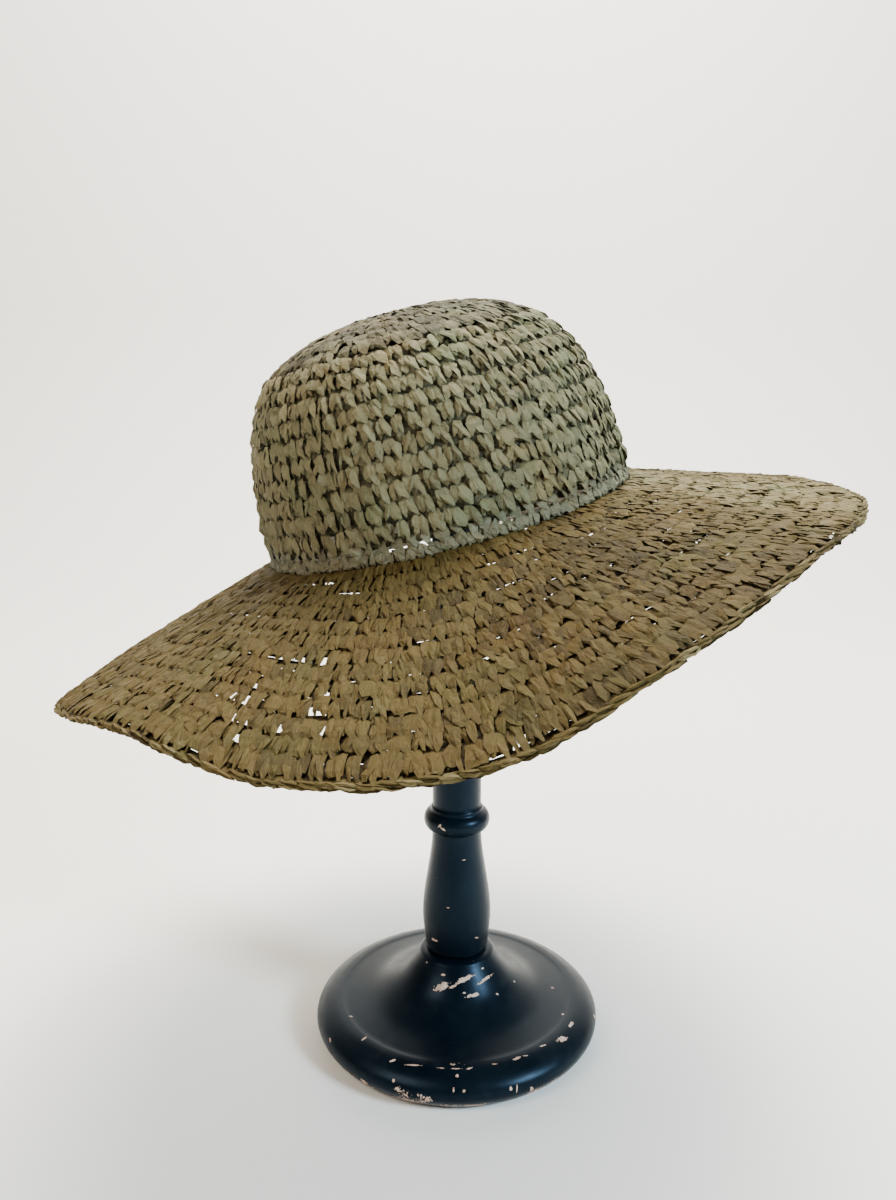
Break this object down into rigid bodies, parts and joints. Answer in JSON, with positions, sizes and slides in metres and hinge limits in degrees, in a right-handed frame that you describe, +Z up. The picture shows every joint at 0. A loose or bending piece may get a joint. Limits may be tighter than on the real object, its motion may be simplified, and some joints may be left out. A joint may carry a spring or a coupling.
{
  "type": "wide-brim sun hat on a hat stand",
  "caption": "Crocheted straw sun hat with a round crown and a wide drooping brim, resting tilted on a turned and painted wooden hat stand with a round base.",
  "frame": {"origin": "centre of the stand base's flat underside", "axes": "+Z up the stem, -Y towards the side pictured, +X to the right in the picture"},
  "size_m": [0.416, 0.4219, 0.4122],
  "materials": {
    "crown_straw": "crocheted flat paper straw, grey olive, matt",
    "base_row_straw": "finer round of straw, blue-grey green, slightly shiny",
    "brim_straw": "crocheted flat paper straw, warm olive brown, matt",
    "edging_straw": "rope-like last round of straw, warm olive brown",
    "stand_paint": "turned wood under blue-black satin paint, chipped to a pale undercoat"
  },
  "bodies": {
    "root": {"crown": "crown_straw", "base_row": "base_row_straw", "brim": "brim_straw", "brim_edging": "edging_straw", "stand_base": "stand_paint", "stand_stem": "stand_paint", "stand_rest": "stand_paint"}
  },
  "joints": []
}
